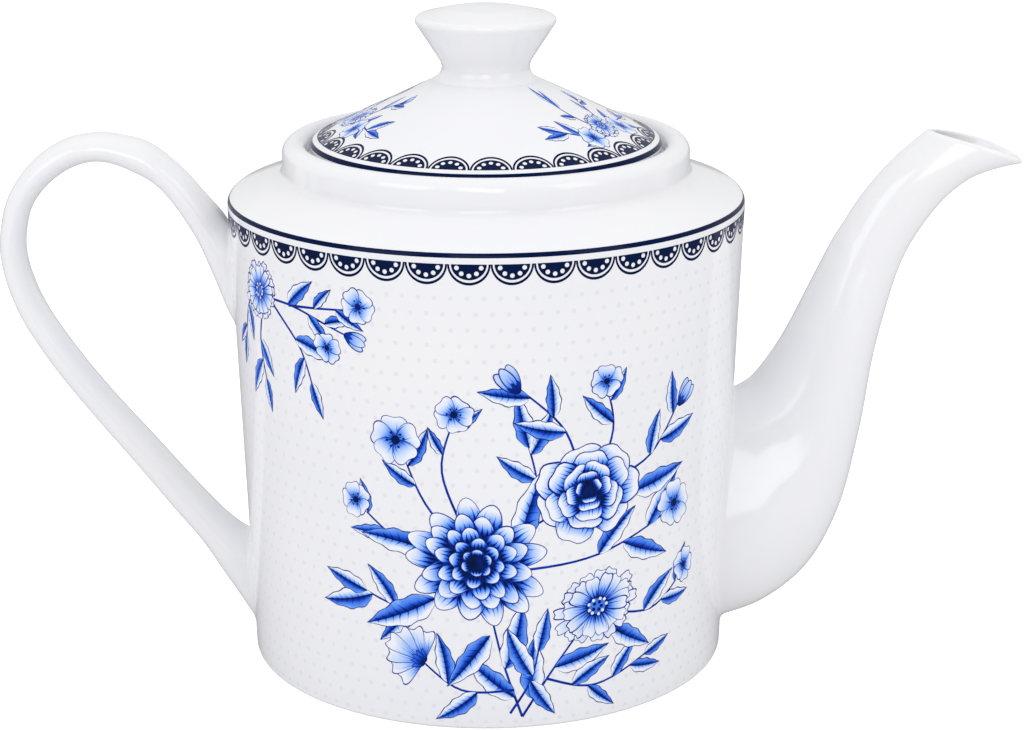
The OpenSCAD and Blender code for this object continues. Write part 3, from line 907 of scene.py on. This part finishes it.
def film(name, sheet, skin, material, body, slot, at=(0, 0), mirror=1, grid=(1.2, 1.2), wraps=1):
    """One closed film: the topmost mark at each spot gives the ink, and a bare mark leaves a hole."""
    outlines = [turned_left(mark.outline) for mark in sheet]
    corners = np.vstack(outlines)
    low, high = corners.min(0), corners.max(0)
    ends = np.cumsum([len(outline) for outline in outlines])
    loops = [list(range(end - len(outline), end)) for end, outline in zip(ends, outlines)]
    inner = np.stack(np.meshgrid(*(np.arange(a, b, step) for a, b, step in zip(low, high, grid))), -1)
    points = [Vector(point) for point in np.vstack([corners, inner.reshape(-1, 2)])]
    points, _, triangles, _, _, owners = delaunay_2d_cdt(points, [], loops, 1, 1e-5, True)
    flat = np.array([tuple(point) for point in points])
    kept = [(tri, max(own)) for tri, own in zip(triangles, owners)
            if own and sheet[max(own)].base is not BARE]
    triangles, owner = np.array([tri for tri, _ in kept]), np.array([own for _, own in kept])
    used, triangles = np.unique(triangles, return_inverse=True)
    flat, triangles = flat[used], triangles.reshape(-1, 3)

    # Each corner carries its place (along, across, a stroke's width) and ink (base, tip, reach)
    place, ink = np.zeros((len(owner), 3, 3)), np.zeros((len(owner), 3, 3))
    for number, mark in enumerate(sheet):
        mine = owner == number
        if mark.base is BARE or not mine.any():
            continue
        ink[mine] = (mark.base, mark.tip, mark.reach)
        if mark.axis:
            x, y = mark.axis.back(flat[triangles[mine]].reshape(-1, 2))
            share = np.abs(y) / (mark.axis.half(x) + 0.05)
            if mark.veins:
                along, across = share, x - VEIN_SLANT * np.abs(y) / mark.axis.length
            else:
                along = np.clip((x - mark.hidden) / (1 - mark.hidden), 0, 1)
                across = (1 + np.sign(y) * share) / 2
            across = mark.strokes * across + MARK_STEP * number
            stroke_w = 0 * x + (VEIN_STROKE if mark.veins else PETAL_STROKE)
            place[mine] = np.stack([along, across, stroke_w], 1).reshape(-1, 3, 3)

    laid = flat * (mirror, 1) + at
    if mirror < 0:
        triangles, place, ink = triangles[:, ::-1], place[:, ::-1], ink[:, ::-1]
    edges = np.vstack([triangles[:, [0, 1]], triangles[:, [1, 2]], triangles[:, [2, 0]]])
    known = set(map(tuple, edges))
    rim = np.array([(a, b) for a, b in edges if (b, a) not in known])
    n = len(flat)
    sides = np.stack([rim[:, 0], rim[:, 0] + n, rim[:, 1] + n, rim[:, 1]], 1)
    faces = triangles.tolist() + (triangles[:, ::-1] + n).tolist() + sides.tolist()
    thing = make_object(name, np.vstack([skin.at(laid, LIFT), skin.at(laid, -SUNK)]), faces, material)
    mesh = thing.data

    # The rest of the film, underneath and around, takes a line's tone and a corner of the map
    top, rest = 3 * len(triangles), 3 * len(triangles) + 4 * len(rim)
    for label, values, plain in (("place", place, (0, 0, 0)), ("ink", ink, (LINE_TONE, LINE_TONE, 0))):
        everywhere = np.vstack([values.reshape(-1, 3), np.tile(plain, (rest, 1))])
        attribute = mesh.attributes.new(label, "FLOAT_VECTOR", "CORNER")
        attribute.data.foreach_set("vector", everywhere.ravel())
    normals = skin.normal(laid)
    loops = np.concatenate([triangles.ravel(), triangles[:, ::-1].ravel(),
                            np.repeat(rim, 2, 1).ravel()])
    signs = np.ones(len(loops))
    signs[top:2 * top] = -1
    mesh.normals_split_custom_set((normals[loops] * signs[:, None]).tolist())

    size = high - low
    row = np.clip(flat[triangles].mean(1)[:, 0] - low[0], 0, None) // (size[0] / wraps + 1e-6)
    shift = np.stack([-row * size[0] / wraps, row * (size[1] + 1)], 1)
    spread = flat[triangles] - low + shift[:, None]
    spread = MAP_LOW + MAP_SIZE * spread / spread.reshape(-1, 2).max(0)
    corner = MAP_SPARE[0] * (flat[loops[top:]] - low) / size
    corner[top + 1::4] += MAP_SPARE[1]
    corner[top + 2::4] += MAP_SPARE[1]
    layer = mesh.uv_layers.new(name="OFBake")
    layer.data.foreach_set("uv", np.vstack([spread.reshape(-1, 2), corner]).ravel())
    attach(thing, body)


# ---- The designs ----
BODY_SKIN = Skin([(FOOT_R, 0, 0), (SHOULDER_R, SHOULDER_H, SHOULDER_ROUND),
                  (COLLAR_R, shoulder_z(COLLAR_R), 0)], radius=62.5)
LID_SKIN = Skin([(LID_R, LID_Z, 0), (LID_R, LID_EDGE_Z, LID_RIM_ROUND), (PAD_R, PAD_Z, 0)],
                radius=40)
BORDER_Z, LID_BORDER_Z = 114.9, 128.1
# A scallop's bare ring, from and to, inside its edge, and the arc and size of its bare dots
RING_FROM, RING_TO, DOT_ARC, BARE_DOT_R = (0.45, 0.6), (0.85, 1.2), (2.85, 2.6), 0.54
SPRAY_ACROSS, SPRAY_UP = 50.5, 96.5
LID_SPRAYS, LID_SPRAY_UP = (("right", 63, 11), ("left", -84, 12), ("back", 181, 13)), 14.3
# Branches: points of the stem, its leaves' shares of the way, and a leaf's length.
# Leaves: place, angle, length, width and bend. Blossoms: place, radius, face and first petal
BOUQUET_BRANCHES = (
    (((9, 3), (4, 18), (-1, 40)), (0.22, 0.42), 16),
    (((9, 3), (17, 15), (27, 28)), (0.25, 0.5), 14),
    (((6, 4), (11, 12), (13, 20)), (0.55, 1), 11),
    (((-1, 41), (10, 50), (25, 57)), (), 0),
    (((4, 46), (12, 58), (10, 71)), (0.62, 0.8, 1), 11),
    (((24, 57), (19, 73), (8, 84)), (0.5, 0.66, 0.82), 10),
    (((26, 58), (31, 72), (29, 83)), (0.55, 0.75), 9),
    (((28, 59), (42, 64), (51, 75)), (0.5, 0.66, 0.84), 10),
    (((8, 40), (28, 42), (50, 49)), (0.48, 0.6, 0.76), 12),
    (((28, 28), (44, 25), (55, 31)), (0.45, 0.62, 0.8), 10),
    (((-2, 42), (-14, 56), (-20, 70)), (0.6, 0.76), 9),
    (((-4, 48), (-10, 64), (-7, 77)), (0.62, 0.8), 8),
    (((-6, 42), (-20, 46), (-31, 54)), (0.6, 0.8), 9),
    (((-4, 38), (-18, 30), (-31, 33)), (0.5, 0.64, 0.8, 1), 12),
    (((7, 10), (-6, 10), (-16, 17)), (0.35, 0.6), 10),
    (((15.2, 12.2), (28, 9), (44, 14)), (0.3, 0.45, 0.6, 0.78, 1), 9.5))
BOUQUET_LEAVES = (
    ((-12, 33), 212, 20, 7, -2.5), ((-14, 45), 166, 17, 6, 2), ((1, 24), 238, 17, 6, -2),
    ((11, 12), 300, 11, 4.2, 1), ((32, 23), 322, 14, 5.5, 2), ((37, 56), 4, 17, 6, 2.5),
    ((8, 46), 78, 20, 6.5, -2))
BOUQUET_BLOSSOMS = (
    ((29, 84), 4.4, (0.9, 90), 20), ((51, 50), 6, (0.85, 30), 90), ((56, 33), 4.6, (0.8, 0), 70),
    ((-21, 71), 6.4, (0.9, 120), 90), ((-7, 78), 5, (0.85, 80), 60), ((-32, 55), 4.6, (0.8, 160), 110))
SPRAY_BRANCHES = (
    (((-12, 2), (2, 2), (17, -2)), (0.45, 0.6, 0.75), 9),
    (((-10, 2), (-13, -9), (-11, -19)), (0.5, 0.7, 1), 9),
    (((-6, 1), (3, -7), (7, -16)), (0.45, 0.65, 1), 10),
    (((0, 2), (10, 3), (20, 4)), (0.45, 0.7), 7),
    (((-12, 4), (-19, -2), (-22, -11)), (0.5, 0.75, 1), 8))
LID_SPRAY_BRANCHES = (
    (((0, -2), (-9, -1), (-19, 3)), (0.4, 0.6, 0.8, 1), 7),
    (((0, -2), (9, 1), (18, 0)), (0.4, 0.6, 0.8, 1), 7),
    (((-2, 0), (-7, 8), (-9, 14)), (0.45, 0.7, 1), 6.5),
    (((2, 0), (6, 7), (12, 12)), (0.5, 0.75), 6.5))


def scallop_band(skin, count, first, line_at, line_w, gap, depth, up):
    """A line, and below or above it a row of scalloped half-rounds, each with five bare dots."""
    sheet = Sheet(1)
    pitch = TAU * skin.radius / count
    first = math.radians(first) * skin.radius
    steps = 8 * count
    u = first + pitch * (np.arange(steps + 1) / 8 - 0.5)
    cuts = line_at + line_w * np.linspace(-0.5, 0.5, 5)
    for low, high in zip(cuts, cuts[1:]):
        strip = [np.stack([u, 0 * u + low], 1), np.stack([u[::-1], 0 * u + high], 1)]
        sheet.append(Mark(np.vstack(strip), NAVY_TONE, NAVY_TONE))
    level = line_at + up * (line_w / 2 + gap)
    for k in range(count):
        centre = first + k * pitch
        for inside, tone in (((0, 0), NAVY_TONE), (RING_FROM, BARE), (RING_TO, NAVY_TONE)):
            rx, ry = pitch / 2 - inside[0], depth - inside[1]
            a = np.linspace(0, math.pi, 21)
            flat = np.linspace(-rx, rx, 9)[1:-1]
            outline = np.vstack([np.stack([rx * np.cos(a), up * ry * np.sin(a)], 1),
                                 np.stack([flat, 0 * flat], 1)])
            sheet.append(Mark(outline + (centre, level), tone, tone))
        for a in np.radians((18, 54, 90, 126, 162)):
            at = (centre + DOT_ARC[0] * math.cos(a), level + up * DOT_ARC[1] * math.sin(a))
            disc(sheet, at, BARE_DOT_R, tone=BARE)
    return sheet


def front_bouquet(seed):
    sheet = Sheet(seed)
    for row in BOUQUET_BRANCHES:
        branch(sheet, *row)
    for row in BOUQUET_LEAVES:
        leaf(sheet, *row)
    bud(sheet, (8, 83), 128, 7.5)
    bud(sheet, (51, 74), 48, 7)
    bell(sheet, (-15, 16.5), 152, 11)
    for row in BOUQUET_BLOSSOMS:
        blossom(sheet, *row)
    daisy(sheet, (28, 29), 11.5)
    rose(sheet, (25, 58), 14)
    dahlia(sheet, (-2, 42), 17.5)
    return sheet


def side_spray(seed):
    sheet = Sheet(seed)
    for row in SPRAY_BRANCHES:
        branch(sheet, *row)
    bud(sheet, (17, -2), 340, 6)
    blossom(sheet, (12, -6), 4)
    blossom(sheet, (21, 5), 4.6, start=50)
    daisy(sheet, (-12, 3), 8, (0.85, 140))
    return sheet


def lid_spray(seed):
    sheet = Sheet(seed)
    for row in LID_SPRAY_BRANCHES:
        branch(sheet, *row, width=0.5)
    bud(sheet, (12, 11.5), 45, 5)
    blossom(sheet, (-9.5, -1), 4.6)
    blossom(sheet, (9.5, -1), 4.6, start=40)
    daisy(sheet, (0, 2), 6)
    return sheet


def make_prints():
    ink = print_ink("print_ink")
    on_pot = BODY_SKIN, ink, "pot", "pot_porcelain"
    on_lid = LID_SKIN, ink, "lid_unit", "lid_porcelain"
    half_round = math.pi * BODY_SKIN.radius
    border = scallop_band(BODY_SKIN, count=41, first=-3.0, line_at=BODY_SKIN.up_to(BORDER_Z),
                          line_w=1.08, gap=1.4, depth=4.8, up=-1)
    film("border_print", border, *on_pot, grid=(1.2, 0.45), wraps=7)
    border = scallop_band(LID_SKIN, count=26, first=2.2, line_at=LID_SKIN.up_to(LID_BORDER_Z),
                          line_w=1.25, gap=1.35, depth=4.9, up=1)
    film("lid_border_print", border, *on_lid, grid=(1.2, 0.35), wraps=6)
    film("bouquet_print", front_bouquet(3), *on_pot)
    film("bouquet_back_print", front_bouquet(8), *on_pot, (half_round, 0), -1)
    film("spray_print", side_spray(5), *on_pot, (-SPRAY_ACROSS, SPRAY_UP))
    film("spray_back_print", side_spray(6), *on_pot, (half_round + SPRAY_ACROSS, SPRAY_UP), -1)
    for place, azimuth, seed in LID_SPRAYS:
        at = (math.radians(azimuth) * LID_SKIN.radius, LID_SPRAY_UP)
        film(f"lid_spray_{place}_print", lid_spray(seed), *on_lid, at)


# ---- Making ----
make_camera()
bpy.context.scene.view_settings.view_transform = "Standard"
make_world()
make_floor()
for settings in SOFTBOXES:
    softbox(*settings)

plain = porcelain("plain_porcelain")
dotted = porcelain("dotted_porcelain", dots=True)
make_body(dotted)
make_lid(plain)
make_knob(plain)
make_spout(plain)
make_handle(plain)
make_prints()
